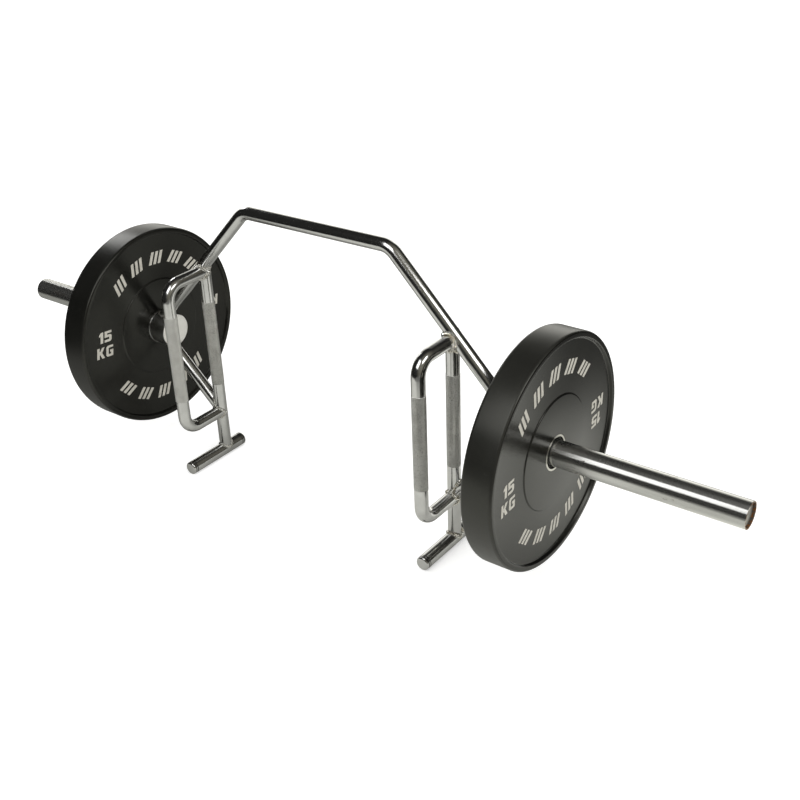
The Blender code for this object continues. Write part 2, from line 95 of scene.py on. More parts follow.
insert_low, insert_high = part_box("plate_insert_right")
INSERT_INNER_X = insert_low.x
INSERT_OUTER_X = insert_high.x
INSERT_RADIUS = (insert_high.z - insert_low.z) / 2

end_cap_low, end_cap_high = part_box("end_cap_right")
CAP_BACK_X = end_cap_low.x
CAP_FACE_X = end_cap_high.x
CAP_RADIUS = (end_cap_high.z - end_cap_low.z) / 2

# Sizes of the frame that the boxes don't give
BAR_HALF_LENGTH = 0.182
BAR_BEND_RADIUS = 0.042
BAR_ON_HUB = 0.0226
BRACE_DROP = 0.1655
BRACE_ON_HUB = 0.0189
HANDLE_BEND_RADIUS = 0.034
HANDLE_GRIP_RISE = 0.004
GRIP_LENGTH = 0.200
BEND_STEP_ANGLE = math.radians(4.5)
TUBE_SIDES = 48

# The route of a tube stops short of its host; its end then reaches onto the host and into it
SETBACK = 0.03
POST_TOP_SETBACK = 0.02
BRACE_LOW_SETBACK = 0.045
COPE_DEPTH = 0.0006

# Rounded ends of the foot tubes, and the thin rings behind them
FOOT_ROUNDING = 0.0045
FOOT_ROUNDING_STEPS = 8
RING_DEPTHS = (0.0060, 0.0108)
RING_WIDTH = 0.0010
RING_DEPTH = 0.0013

# Knurling
KNURL_ROUND = 56
KNURL_PITCH = 0.0021
KNURL_DEPTH = 0.00042
# The left handle's grip uses the knurled steel painted brighter, as painted light standing in for
# the light falling on it
HANDLE_KNURLS = {"right": "knurl", "left": "lit_painted_knurl"}

# Weld beads
BEAD_RADIUS = 0.0046
HUB_BEAD_RADIUS = 0.0026
ARM_BEAD_RADIUS = 0.0066
BEAD_SHARES = {"right": 1.0, "left": 0.68}
BEAD_LEAN = 0.8
BEAD_RIPPLE = 0.0036
BEAD_BASE = 0.78
BEAD_SCALLOP = 0.34
BEAD_WANDER = 0.40
WANDER_SCALE = 90.0
WANDER_PHASE = 2.0
BEAD_STEPS = 300
BEAD_SIDES = 14
BEAD_SMOOTH_ANGLE = 70.0

# Turned pieces
SLEEVE_RADIUS = 0.025
SLEEVE_BORE = 0.0205
SHOULDER_LENGTH = 0.004
HUB_EDGE = 0.0016
SEAT_GAP = 0.0003
CAP_EDGE = 0.0006
CAP_BOSS_RADIUS = 0.0205
CAP_BOSS_TAPER = 0.001
CAP_BOSS_HEIGHT = 0.005
MOUTH_RIM = 0.0006
TURNED_SIDES = 96
PLATE_SIDES = 192
POINT_RADIUS = 1e-6
# Largest share of a side that one rounded corner takes up
CORNER_SHARE = 0.45

# Bumper plate
PLATE_EDGE_DEPTH = 0.0065
PLATE_EDGE_HEIGHT = 0.0045
PLATE_EDGE_STEPS = 12
PLATE_LIP_WIDTH = 0.007
PLATE_LIP_SLOPE = 0.0025
PLATE_FACE_RECESS = 0.0062
PLATE_SOFTNESS = 0.0014
BOSS_RADIUS = 0.1105
BOSS_RECESS = 0.004
BOSS_SLOPE = 0.0015
INSERT_FLANGE_WIDTH = 0.0042
INSERT_STEP_DEPTH = 0.003
INSERT_CHAMFER = 0.0012
INSERT_EDGE = 0.0005
INSERT_RIM_MARGIN = 0.001
INSERT_STEP_MARGIN = 0.0002
PLATE_TURNS = {"right": math.radians(3.5), "left": math.radians(-5.5)}

# Markings: stripes along the top and bottom of a face, the weight at both of its sides
MARK_HEIGHT = 0.0004
MARK_INNER_RADIUS = 0.146
MARK_OUTER_RADIUS = 0.174
MARK_STEP_ANGLE = math.radians(20.5)
STRIPE_WIDTH = 0.0075
STRIPE_SLANT = 0.0045
STRIPE_STARTS = (-0.0165, -0.0038, 0.0089)
WEIGHT_MARK_OFFSET = 0.161
FIGURE_HEIGHT = 0.0245
FIGURE_SLANT = 0.10
NUMBER_BASE = 0.0048
UNIT_BASE = -0.0293

Host = namedtuple("Host", "origin axis radius")


# Meshes

def at(x, y, rise):
    """Point whose height is counted from the sleeve axis."""
    return Vector((x, y, AXIS_HEIGHT + rise))


def off_axis(face):
    """Distance of a face's middle from the sleeve axis."""
    return Vector((0.0, face.center.y, face.center.z - AXIS_HEIGHT)).length


def add_piece(name, data, finish):
    item = bpy.data.objects.new(name, data)
    bpy.context.scene.collection.objects.link(item)
    data.materials.append(finish)
    return item


def finish_mesh(name, shape, smooth_angle=40.0):
    """Turn a bmesh into mesh data with outward faces, smooth except over sharp edges."""
    bmesh.ops.recalc_face_normals(shape, faces=shape.faces)
    data = bpy.data.meshes.new(name)
    shape.to_mesh(data)
    shape.free()
    if smooth_angle > 0.0:
        data.shade_smooth()
        data.set_sharp_from_angle(angle=math.radians(smooth_angle))
    else:
        data.shade_flat()
    return data


def bridge_rings(shape, rings, closed=False):
    """Join rings of vertices into a skin of quads, or of triangles next to a single vertex."""
    pairs = list(zip(rings, rings[1:]))
    if closed:
        pairs.append((rings[-1], rings[0]))
    for low, high in pairs:
        count = max(len(low), len(high))
        for index in range(count):
            after = (index + 1) % count
            if len(low) == 1:
                corners = (low[0], high[after], high[index])
            elif len(high) == 1:
                corners = (low[index], low[after], high[0])
            else:
                corners = (low[index], low[after], high[after], high[index])
            shape.faces.new(corners)


def reach(place, ahead, hosts):
    """Distance from a place along a direction to the first host cylinder that it meets.

    A host that it misses counts at the point where it comes nearest.
    """
    found = []
    for host in hosts:
        offset = place - host.origin
        offset = offset - host.axis * offset.dot(host.axis)
        along = ahead - host.axis * ahead.dot(host.axis)
        square = along.dot(along)
        half = offset.dot(along)
        rest = offset.dot(offset) - host.radius ** 2
        root = half * half - square * rest
        if root >= 0.0:
            found.append((-half - math.sqrt(root)) / square)
        else:
            found.append(-half / square)
    return min(found)


def across(ahead):
    """Two unit vectors that are square to a direction and to each other."""
    helper = Vector((0.0, 1.0, 0.0)) if abs(ahead.y) < 0.9 else Vector((1.0, 0.0, 0.0))
    first = ahead.cross(helper).normalized()
    return first, ahead.cross(first).normalized()


def around(ahead, turn):
    first, second = across(ahead)
    return first * math.cos(turn) + second * math.sin(turn)


def tube(name, route, finish, start_hosts, end_hosts):
    """A bent tube whose ends are coped onto host cylinders."""
    shape = bmesh.new()
    rings = []
    last = len(route) - 1
    spoke = across((route[1] - route[0]).normalized())[0]
    for index, place in enumerate(route):
        before = route[max(index - 1, 0)]
        after = route[min(index + 1, last)]
        ahead = (after - before).normalized()
        spoke = (spoke - ahead * spoke.dot(ahead)).normalized()
        side = ahead.cross(spoke)
        hosts = start_hosts if index == 0 else end_hosts if index == last else ()
        outward = -ahead if index == 0 else ahead
        ring = []
        for step in range(TUBE_SIDES):
            turn = 2 * math.pi * step / TUBE_SIDES
            corner = place + (spoke * math.cos(turn) + side * math.sin(turn)) * TUBE_RADIUS
            if hosts:
                corner = corner + outward * (reach(corner, outward, hosts) + COPE_DEPTH)
            ring.append(shape.verts.new(corner))
        rings.append(ring)
    bridge_rings(shape, rings)
    shape.faces.new(reversed(rings[0]))
    shape.faces.new(rings[-1])
    return add_piece(name, finish_mesh(name, shape), finish)


def bead(name, foot, ahead, hosts, finish, seed, size):
    """A rippled, slightly uneven weld bead round the place where a tube meets its hosts."""
    centres = []
    for step in range(BEAD_STEPS):
        spoke = around(ahead, 2 * math.pi * step / BEAD_STEPS)
        corner = foot + spoke * TUBE_RADIUS
        centres.append((corner + ahead * reach(corner, ahead, hosts), spoke))
    shape = bmesh.new()
    rings = []
    travelled = 0.0
    for step, (centre, spoke) in enumerate(centres):
        before = centres[step - 1][0]
        after = centres[(step + 1) % BEAD_STEPS][0]
        travelled += (centre - before).length if step else 0.0
        along = (after - before).normalized()
        out = (spoke - ahead * BEAD_LEAN).normalized()
        out = (out - along * out.dot(along)).normalized()
        side = along.cross(out)
        wander = noise.noise(centre * WANDER_SCALE + Vector((seed, 0.0, 0.0)))
        scallop = abs(math.sin(math.pi * travelled / BEAD_RIPPLE + WANDER_PHASE * wander))
        width = size * (BEAD_BASE + BEAD_SCALLOP * scallop + BEAD_WANDER * wander)
        ring = []
        for turn in range(BEAD_SIDES):
            angle = 2 * math.pi * turn / BEAD_SIDES
            offset = (out * math.cos(angle) + side * math.sin(angle)) * width
            ring.append(shape.verts.new(centre + offset))
        rings.append(ring)
    bridge_rings(shape, rings, closed=True)
    return add_piece(name, finish_mesh(name, shape, BEAD_SMOOTH_ANGLE), finish)


def knurl(name, top, finish):
    """Crossed knurling down a grip: small pyramids, parted by two families of grooves."""
    rows = 2 * round(GRIP_LENGTH / KNURL_PITCH)
    columns = 2 * KNURL_ROUND
    shape = bmesh.new()
    rings = []
    for row in range(rows + 1):
        place = top + DOWN * (GRIP_LENGTH * row / rows)
        ring = []
        for column in range(columns):
            raised = (row + column) % 2 == 0
            depth = 0.0 if raised else KNURL_DEPTH
            if row in (0, rows):
                depth = GRIP_RADIUS - TUBE_RADIUS + COPE_DEPTH
            turn = 2 * math.pi * column / columns
            ring.append(shape.verts.new(place + around(DOWN, turn) * (GRIP_RADIUS - depth)))
        rings.append(ring)
    for row in range(rows):
        low, high = rings[row], rings[row + 1]
        for column in range(columns):
            after = (column + 1) % columns
            near, far = low[column], low[after]
            above_near, above_far = high[column], high[after]
            if (row + column) % 2 == 0:
                shape.faces.new((near, far, above_near))
                shape.faces.new((far, above_far, above_near))
            else:
                shape.faces.new((near, far, above_far))
                shape.faces.new((near, above_far, above_near))
    return add_piece(name, finish_mesh(name, shape, 0.0), finish)


def soften(outline, radius, steps=4):
    """Round every corner of an open outline."""
    points = [Vector(place) for place in outline]
    soft = [points[0]]
    for before, corner, after in zip(points, points[1:], points[2:]):
        back = before - corner
        on = after - corner
        size = min(radius, back.length * CORNER_SHARE, on.length * CORNER_SHARE)
        start = corner + back.normalized() * size
        end = corner + on.normalized() * size
        for step in range(steps + 1):
            share = step / steps
            soft.append(
                start * (1 - share) ** 2 + corner * (2 * share * (1 - share)) + end * share ** 2
            )
    soft.append(points[-1])
    return soft


def lathe(shape, outline, sides, place, closed=False):
    """Skin of an outline of (distance, radius) swept round an axis.

    place turns a distance along the axis and two offsets across it into a point.
    """
    rings = []
    for distance, radius in outline:
        if radius < POINT_RADIUS:
            rings.append([shape.verts.new(place(distance, 0.0, 0.0))])
            continue
        ring = []
        for step in range(sides):
            turn = 2 * math.pi * step / sides
            corner = place(distance, radius * math.cos(turn), radius * math.sin(turn))
            ring.append(shape.verts.new(corner))
        rings.append(ring)
    bridge_rings(shape, rings, closed)


def turned(name, outline, sign, finish, sides=TURNED_SIDES, closed=False):
    """Turn an outline of (distance from the middle, radius) about the sleeve axis of one side."""
    shape = bmesh.new()
    lathe(shape, outline, sides, lambda distance, y, rise: at(sign * distance, y, rise), closed)
    return add_piece(name, finish_mesh(name, shape), finish)


def plaque(name, outlines, place, finish):
    """Flat marks of constant height; place turns a flat (across, up, height) into a point."""
    shape = bmesh.new()
    for outline in outlines:
        low = [shape.verts.new(place(u, v, -MARK_HEIGHT)) for u, v in outline]
        high = [shape.verts.new(place(u, v, MARK_HEIGHT)) for u, v in outline]
        shape.faces.new(high)
        shape.faces.new(reversed(low))
        bridge_rings(shape, [low, high])
    return add_piece(name, finish_mesh(name, shape, 30.0), finish)


# Materials; a plain colour is (red, green, blue)

def feed(tree, item, inputs):
    """Link inputs of a node to sockets, or set them to plain values."""
    for key, value in inputs.items():
        if isinstance(value, bpy.types.NodeSocket):
            tree.links.new(value, item.inputs[key])
        else:
            item.inputs[key].default_value = value


def node(tree, kind, inputs=None, **settings):
    """Add a node, set its properties and feed its inputs."""
    item = tree.nodes.new(kind)
    for key, value in settings.items():
        setattr(item, key, value)
    feed(tree, item, inputs or {})
    return item


def new_material(name):
    finish = bpy.data.materials.new(name)
    finish.use_nodes = True
    tree = finish.node_tree
    shader = tree.nodes["Principled BSDF"]
    place = node(tree, "ShaderNodeTexCoord").outputs["Object"]
    return finish, tree, shader, place


def speckle(tree, place, scale, detail=2.0, stretch=None):
    if stretch is not None:
        place = node(tree, "ShaderNodeMapping", {"Vector": place, "Scale": stretch}).outputs[0]
    return node(
        tree, "ShaderNodeTexNoise", {"Vector": place, "Scale": scale, "Detail": detail}
    ).outputs["Fac"]


def spread(tree, value, low=0.0, high=1.0, start=0.35, end=0.65):
    """Map start to end, by default the usual range of a noise, onto low to high."""
    return node(tree, "ShaderNodeMapRange", {
        "Value": value, "From Min": start, "From Max": end, "To Min": low, "To Max": high,
    }).outputs[0]


def blend(tree, share, first, second):
    item = node(tree, "ShaderNodeMix", data_type="RGBA", clamp_factor=False)
    for key, value in (("Factor", share), ("A", first), ("B", second)):
        socket = [entry for entry in item.inputs if entry.name == key and entry.enabled][0]
        if isinstance(value, bpy.types.NodeSocket):
            tree.links.new(value, socket)
        else:
            socket.default_value = (*value, 1)
    return [entry for entry in item.outputs if entry.enabled][0]


def mottle(tree, cloud, light, dark):
    """Colour that follows a noise from light to dark."""
    return blend(tree, spread(tree, cloud), light, dark)


def times(tree, first, second):
    return node(tree, "ShaderNodeMath", {0: first, 1: second}, operation="MULTIPLY").outputs[0]


def projected(tree, place, direction):
    """Length of a vector along a direction."""
    return node(
        tree, "ShaderNodeVectorMath", {0: place, 1: direction}, operation="DOT_PRODUCT"
    ).outputs["Value"]


def bump(tree, shader, value, distance):
    relief = node(tree, "ShaderNodeBump", {"Height": value, "Distance": distance, "Strength": 1.0})
    feed(tree, shader, {"Normal": relief.outputs[0]})


def metal(name, light, dark, rough_low, rough_high, wave=0.0, scale=60.0, shine=1.0):
    """Plated or bare metal: uneven colour and gloss, and a faint waviness."""
    finish, tree, shader, place = new_material(name)
    cloud = speckle(tree, place, scale, 3.0)
    grain = speckle(tree, place, scale * 14.0)
    feed(tree, shader, {
        "Metallic": shine,
        "Base Color": mottle(tree, cloud, light, dark),
        "Roughness": spread(tree, grain, rough_low, rough_high),
    })
    if wave > 0.0:
        bump(tree, shader, cloud, wave)
    return finish


def sleeve_finish():
    """Chrome worn by plates: streaks along the sleeve and a few dull scuffs.

    The fine lines from turning draw its highlights out across them.
    """
    finish, tree, shader, place = new_material("sleeve chrome")
    along_lines = node(tree, "ShaderNodeTangent", direction_type="RADIAL", axis="X")
    streaks = speckle(tree, place, 55.0, 3.0, (0.05, 1.0, 1.0))
    scuffs = spread(
        tree, speckle(tree, place, 70.0, 3.0, (0.5, 1.0, 1.0)), start=0.65, end=0.71
    )
    clean = mottle(tree, streaks, (0.68, 0.68, 0.66), (0.52, 0.52, 0.50))
    rough = node(tree, "ShaderNodeMath", {
        0: spread(tree, streaks, 0.19, 0.26), 1: spread(tree, scuffs, 0.0, 0.12, 0.0, 1.0),
    }, operation="ADD").outputs[0]
    feed(tree, shader, {
        "Base Color": blend(tree, scuffs, clean, (0.34, 0.33, 0.31)),
        "Metallic": 0.965,
        "Roughness": rough,
        "Anisotropic": 0.86,
        "Anisotropic Rotation": 0.25,
        "Tangent": along_lines.outputs[0],
    })
    return finish


def flecked_finish(name, clean, shine, rough):
    """Metal that turns to rust in flecks, as at the mouth of the sleeve."""
    finish, tree, shader, place = new_material(name)
    flecks = spread(tree, speckle(tree, place, 260.0, 4.0), start=0.44, end=0.52)
    feed(tree, shader, {
        "Base Color": blend(tree, flecks, clean, (0.19, 0.072, 0.014)),
        "Metallic": spread(tree, flecks, shine, 0.1, 0.0, 1.0),
        "Roughness": spread(tree, flecks, rough, 0.85, 0.0, 1.0),
    })
    return finish


def dull_finish(name, light, dark, rough, scale, detail=4.0, relief=0.0):
    """Rust, nylon or paint: uneven colour of one gloss."""
    finish, tree, shader, place = new_material(name)
    cloud = speckle(tree, place, scale, detail)
    feed(tree, shader, {"Base Color": mottle(tree, cloud, light, dark), "Roughness": rough})
    if relief > 0.0:
        bump(tree, shader, cloud, relief)
    return finish


def rubber_finish(name, rough_low, rough_high, grey=1.0):
    """Moulded black rubber: cloudy shade and gloss, and faint dust; grey scales the shade, and a
    grey above 1 paints the rubber lighter as painted light.
    """
    finish, tree, shader, place = new_material(name)
    cloud = speckle(tree, place, 9.0, 5.0)
    dust = spread(tree, speckle(tree, place, 160.0, 5.0), 0.0, 0.10, 0.60, 0.80)
    deep = (0.0052 * grey, 0.0052 * grey, 0.0044 * grey)
    pale = (0.0080 * grey, 0.0080 * grey, 0.0068 * grey)
    feed(tree, shader, {
        "Base Color": blend(tree, dust, mottle(tree, cloud, deep, pale), (0.08, 0.076, 0.066)),
        "Roughness": spread(tree, cloud, rough_low, rough_high),
        "Specular Tint": (1.0, 1.0, 0.92, 1),
    })
    return finish


def build_finishes():
    return {
        "chrome": metal("chrome", (0.68, 0.68, 0.67), (0.62, 0.62, 0.61), 0.14, 0.19, 0.00004),
        "weld_right": metal(
            "weld chrome", (1.0, 1.0, 0.97), (0.74, 0.69, 0.58), 0.07, 0.15, 0.0002, 150.0
        ),
        "weld_left": metal(
            "duller weld chrome", (0.80, 0.80, 0.78), (0.62, 0.60, 0.54), 0.18, 0.28, 0.0001, 150.0
        ),
        "knurl": metal("knurled steel", (0.86, 0.86, 0.84), (0.74, 0.74, 0.72), 0.26, 0.40),
        # Painted light: the knurled steel painted brighter for the left handle's grip
        "lit_painted_knurl": metal(
            "knurled steel painted brighter as lit", (0.97, 0.97, 0.95), (0.88, 0.88, 0.86), 0.30, 0.44
        ),
        "sleeve": sleeve_finish(),
        "hub": metal("turned hub", (0.60, 0.60, 0.59), (0.50, 0.50, 0.49), 0.24, 0.32),
        "hub_face": metal(
            "satin hub face", (0.92, 0.91, 0.85), (0.86, 0.85, 0.79), 0.34, 0.46, shine=0.35
        ),
        "steel": metal("plain steel", (0.46, 0.46, 0.47), (0.36, 0.36, 0.37), 0.28, 0.42),
        "bronze": metal("bronze", (0.56, 0.37, 0.17), (0.42, 0.26, 0.11), 0.34, 0.48),
        "cap": metal("zinc cap", (0.34, 0.34, 0.31), (0.22, 0.21, 0.19), 0.30, 0.46),
        "insert": metal("zinc insert", (0.66, 0.65, 0.60), (0.54, 0.53, 0.48), 0.28, 0.40),
        "rust": dull_finish(
            "rusted wire", (0.19, 0.062, 0.018), (0.055, 0.025, 0.014), 0.85, 420.0, relief=0.0004
        ),
        "mouth": flecked_finish("rust-flecked rim", (0.42, 0.38, 0.30), 0.9, 0.30),
        # The bore wall inside the mouth: real rust flecks on a near-black base that is painted
        # shade
        "wall": flecked_finish("rust-flecked wall in painted shade", (0.10, 0.10, 0.09), 0.5, 0.5),
        "nylon": dull_finish(
            "black nylon", (0.018, 0.018, 0.018), (0.030, 0.030, 0.030), 0.5, 180.0, detail=2.0
        ),
        "rubber": rubber_finish("black rubber", 0.19, 0.24),
        # The right plate's tread is the rubber painted 2.4 times lighter, as painted light
        # standing in for the light falling on it
        "tread_right": rubber_finish("rubber tread painted lighter as lit", 0.30, 0.36, 2.4),
        "tread_left": rubber_finish("black rubber tread", 0.30, 0.35),
        # Painted shade: black rubber laid into the foot's ring grooves, the insert's counterbore
        # and the insert's side that faces into the plate
        "gap": rubber_finish("black rubber as painted shade", 0.6, 0.7),
        "mark": dull_finish(
            "off-white marking", (0.60, 0.58, 0.51), (0.50, 0.48, 0.42), 0.55, 120.0
        ),
    }


# Frame tubes, their grips and their welds

def arc_corner(before, corner, after, radius):
    """Points of the arc that rounds one corner of a route."""
    back = (before - corner).normalized()
    ahead = (after - corner).normalized()
    half = back.angle(ahead) / 2
    centre = corner + (back + ahead).normalized() * (radius / math.sin(half))
    spoke = corner + back * (radius / math.tan(half)) - centre
    turn_axis = ahead.cross(back).normalized()
    sweep = math.pi - 2 * half
    steps = math.ceil(sweep / BEND_STEP_ANGLE)
    points = []
    for step in range(steps + 1):
        turn = sweep * step / steps
        points.append(centre + spoke * math.cos(turn) + turn_axis.cross(spoke) * math.sin(turn))
    return points


def rounded_route(corners, radius):
    route = [corners[0]]
    for before, corner, after in zip(corners, corners[1:], corners[2:]):
        route.extend(arc_corner(before, corner, after, radius))
    route.append(corners[-1])
    return route


def hub_host(sign):
    return Host(at(sign * HUB_FACE_X, 0.0, 0.0), Vector((1.0, 0.0, 0.0)), HUB_RADIUS)


def weld(kind, side, foot, ahead, hosts, finishes, seed, size):
    name = "weld_%s_%s" % (kind, side)
    size = size * BEAD_SHARES[side]
    piece = bead(name, foot, ahead, hosts, finishes["weld_" + side], seed, size)
    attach(piece, "frame")


def chrome_tube(node_name, route, finishes, start_hosts, end_hosts):
    piece = tube("fine_" + node_name, route, finishes["chrome"], start_hosts, end_hosts)
    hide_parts(node_name)
    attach(piece, "frame")


def grip(name, node_name, middle, finish):
    piece = knurl(name, middle - DOWN * (GRIP_LENGTH / 2), finish)
    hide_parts(node_name)
    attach(piece, "frame")


def build_frame(finishes):
    shoulder = at(BAR_HALF_LENGTH, 0.0, BAR_RISE)
    on_hub = at(HUB_FACE_X + BAR_ON_HUB, 0.0, HUB_RADIUS)
    slope = (on_hub - shoulder).normalized()
    corners = [
        Vector((-on_hub.x, 0.0, on_hub.z)) + Vector((slope.x, 0.0, -slope.z)) * SETBACK,
        Vector((-shoulder.x, 0.0, shoulder.z)),
        shoulder,
        on_hub - slope * SETBACK,
    ]
    route = rounded_route(corners, BAR_BEND_RADIUS)
    chrome_tube("main_tube", route, finishes, [hub_host(-1)], [hub_host(1)])
    for side, sign in SIDES:
        build_side(side, sign, slope, finishes)


def build_side(side, sign, slope, finishes):
    x = sign * POST_X
    up = -DOWN
    back = Vector((0.0, 1.0, 0.0))
    slant = Vector((sign * slope.x, 0.0, slope.z))
    diagonal = Host(at(sign * BAR_HALF_LENGTH, 0.0, BAR_RISE), slant, TUBE_RADIUS)
    post = Host(at(x, 0.0, 0.0), up, TUBE_RADIUS)
    foot = Host(at(x, 0.0, -FOOT_DROP), back, FOOT_RADIUS)
    lower_arm = Host(at(x, 0.0, -HANDLE_DROP), back, TUBE_RADIUS)
    hub = hub_host(sign)

    post_route = [
        at(x, 0.0, HANDLE_TOP - POST_TOP_SETBACK),
        at(x, 0.0, SETBACK - FOOT_DROP),
    ]
    chrome_tube("post_" + side, post_route, finishes, [diagonal], [foot])
    grip("grip_post_" + side, "post_" + side, at(x, 0.0, 0.0), finishes["knurl"])

    handle_route = rounded_route([
        at(x, -SETBACK, HANDLE_TOP),
        at(x, -HANDLE_OFFSET, HANDLE_TOP),
        at(x, -HANDLE_OFFSET, -HANDLE_DROP),
        at(x, -SETBACK, -HANDLE_DROP),
    ], HANDLE_BEND_RADIUS)
    chrome_tube("u_handle_" + side, handle_route, finishes, [diagonal, post], [post])
    grip_middle = at(x, -HANDLE_OFFSET, HANDLE_GRIP_RISE)
    grip_finish = finishes[HANDLE_KNURLS[side]]
    grip("grip_handle_" + side, "u_handle_" + side, grip_middle, grip_finish)

    low = at(x, 0.0, -BRACE_DROP)
    high = at(sign * (HUB_FACE_X + BRACE_ON_HUB), 0.0, -HUB_RADIUS)
    ahead = (high - low).normalized()
    brace_route = [low + ahead * BRACE_LOW_SETBACK, high - ahead * SETBACK]
    chrome_tube("brace_" + side, brace_route, finishes, [post, lower_arm], [hub])

    bar_end = at(sign * (HUB_FACE_X + BAR_ON_HUB), 0.0, HUB_RADIUS) - slant * SETBACK
    welds = (
        ("hub_top", bar_end, slant, [hub], HUB_BEAD_RADIUS),
        ("post_top", post_route[0], up, [diagonal], BEAD_RADIUS),
        ("post_foot", post_route[1], -up, [foot], BEAD_RADIUS),
        ("arm_top", handle_route[0], back, [diagonal, post], ARM_BEAD_RADIUS),
        ("arm_low", handle_route[-1], back, [post], BEAD_RADIUS),
        ("brace_low", brace_route[0], -ahead, [post, lower_arm], BEAD_RADIUS),
        ("brace_hub", brace_route[1], ahead, [hub], HUB_BEAD_RADIUS),
    )
    for seed, (kind, start, onward, hosts, size) in enumerate(welds, 1):
        weld(kind, side, start, onward, hosts, finishes, seed, size)
    build_foot(side, x, finishes)


def build_foot(side, x, finishes):
    """Foot tube with its two closed, rounded ends and the two thin rings behind each end."""
    profile = foot_profile()
    outline = [(-FOOT_FRONT + depth, radius) for depth, radius in profile]
    outline += [(FOOT_BACK - depth, radius) for depth, radius in reversed(profile)]
    shape = bmesh.new()
    lathe(shape, outline, TUBE_SIDES, lambda y, u, v: at(x + u, y, v - FOOT_DROP))
    name = "fine_foot_" + side
    piece = add_piece(name, finish_mesh(name, shape), finishes["chrome"])
    # The ring grooves are painted black as painted shade in the creases
    piece.data.materials.append(finishes["gap"])
    for face in piece.data.polygons:
        depth = min(face.center.y + FOOT_FRONT, FOOT_BACK - face.center.y)
        in_ring = min(abs(depth - centre) for centre in RING_DEPTHS) < RING_WIDTH
        face.material_index = 1 if in_ring else 0
    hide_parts("foot_tube_" + side, "foot_cap_front_" + side, "foot_cap_back_" + side)
    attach(piece, "frame")


def foot_profile():
    """(depth from the end, radius) over the rounded end and its rings."""
    profile = [(0.0, 0.0)]
    for step in range(FOOT_ROUNDING_STEPS + 1):
        turn = math.pi / 2 * step / FOOT_ROUNDING_STEPS
        profile.append((
            FOOT_ROUNDING * (1.0 - math.cos(turn)),
            FOOT_RADIUS - FOOT_ROUNDING + FOOT_ROUNDING * math.sin(turn),
        ))
    for centre in RING_DEPTHS:
        profile.append((centre - RING_WIDTH, FOOT_RADIUS))
        profile.append((centre - RING_WIDTH / 3, FOOT_RADIUS - RING_DEPTH))
        profile.append((centre + RING_WIDTH / 3, FOOT_RADIUS - RING_DEPTH))
        profile.append((centre + RING_WIDTH, FOOT_RADIUS))
    return profile


# Hubs and sleeves

def build_hub(side, sign, finishes):
    outline = soften([
        (HUB_FACE_X, 0.0),
        (HUB_FACE_X, HUB_RADIUS),
        (HUB_END_X, HUB_RADIUS),
        (HUB_END_X, 0.0),
    ], HUB_EDGE, 6)
    piece = turned("fine_hub_" + side, outline, sign, finishes["hub"])
    piece.data.materials.append(finishes["hub_face"])
    for face in piece.data.polygons:
        inner = abs(face.center.x) < HUB_FACE_X + HUB_EDGE / 8
        face.material_index = 1 if inner else 0
    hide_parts("hub_" + side)
    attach(piece, "frame")


def build_sleeve(side, sign, finishes):
    body = "sleeve_" + side
    outline = soften([
        (SHOULDER_X, SLEEVE_BORE),
        (SHOULDER_X, SHOULDER_RADIUS),
        (SHOULDER_X + SHOULDER_LENGTH, SHOULDER_RADIUS),
        (SHOULDER_X + SHOULDER_LENGTH, SLEEVE_RADIUS),
        (SLEEVE_END_X, SLEEVE_RADIUS),
        (SLEEVE_END_X, CAP_RADIUS + SEAT_GAP),
        (CAP_FACE_X, CAP_RADIUS + SEAT_GAP),
        (CAP_BACK_X, CAP_RADIUS + SEAT_GAP),
        (CAP_BACK_X, SLEEVE_BORE),
    ], MOUTH_RIM, 5)
    piece = turned("fine_sleeve_" + side, outline, sign, finishes["sleeve"], closed=True)
    piece.data.materials.append(finishes["mouth"])
    piece.data.materials.append(finishes["wall"])
    for face in piece.data.polygons:
        distance = abs(face.center.x)
        radius = off_axis(face)
        if distance > SLEEVE_END_X - MOUTH_RIM and radius < SLEEVE_RADIUS - MOUTH_RIM / 2:
            face.material_index = 1
        # The bore wall behind the mouth takes the rust-flecked finish in painted shade
        if distance > CAP_BACK_X and radius < CAP_RADIUS + 2 * SEAT_GAP:
            face.material_index = 2
    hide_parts(body)
    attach(piece, body)

    disc = turned("fine_end_cap_" + side, soften([
        (CAP_BACK_X, 0.0),
        (CAP_BACK_X, CAP_RADIUS),
        (CAP_FACE_X, CAP_RADIUS),
        (CAP_FACE_X, CAP_BOSS_RADIUS),
        (CAP_FACE_X + CAP_BOSS_HEIGHT, CAP_BOSS_RADIUS - CAP_BOSS_TAPER),
        (CAP_FACE_X + CAP_BOSS_HEIGHT, 0.0),
    ], CAP_EDGE), sign, finishes["cap"])
    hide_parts("end_cap_" + side)
    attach(disc, body)


# Bumper plates

def plate_outline():
    """Closed outline of (distance from the middle of the bar, radius) of the rubber."""
    crest_outer = PLATE_RADIUS - PLATE_EDGE_HEIGHT
    crest_inner = crest_outer - PLATE_LIP_WIDTH
    half = soften([
        (BOSS_RECESS, INSERT_RADIUS + SEAT_GAP),
        (BOSS_RECESS, BOSS_RADIUS - BOSS_SLOPE),
        (PLATE_FACE_RECESS, BOSS_RADIUS),
        (PLATE_FACE_RECESS, crest_inner - PLATE_LIP_SLOPE),
        (0.0, crest_inner),
        (0.0, crest_outer),
    ], PLATE_SOFTNESS)
    for step in range(1, PLATE_EDGE_STEPS + 1):
        turn = math.pi / 2 * step / PLATE_EDGE_STEPS
        half.append(Vector((
            PLATE_EDGE_DEPTH * (1.0 - math.cos(turn)),
            crest_outer + PLATE_EDGE_HEIGHT * math.sin(turn),
        )))
    outer_face = [(PLATE_OUTER_X - depth, radius) for depth, radius in half]
    inner_face = [(PLATE_INNER_X + depth, radius) for depth, radius in half]
    return outer_face + list(reversed(inner_face))


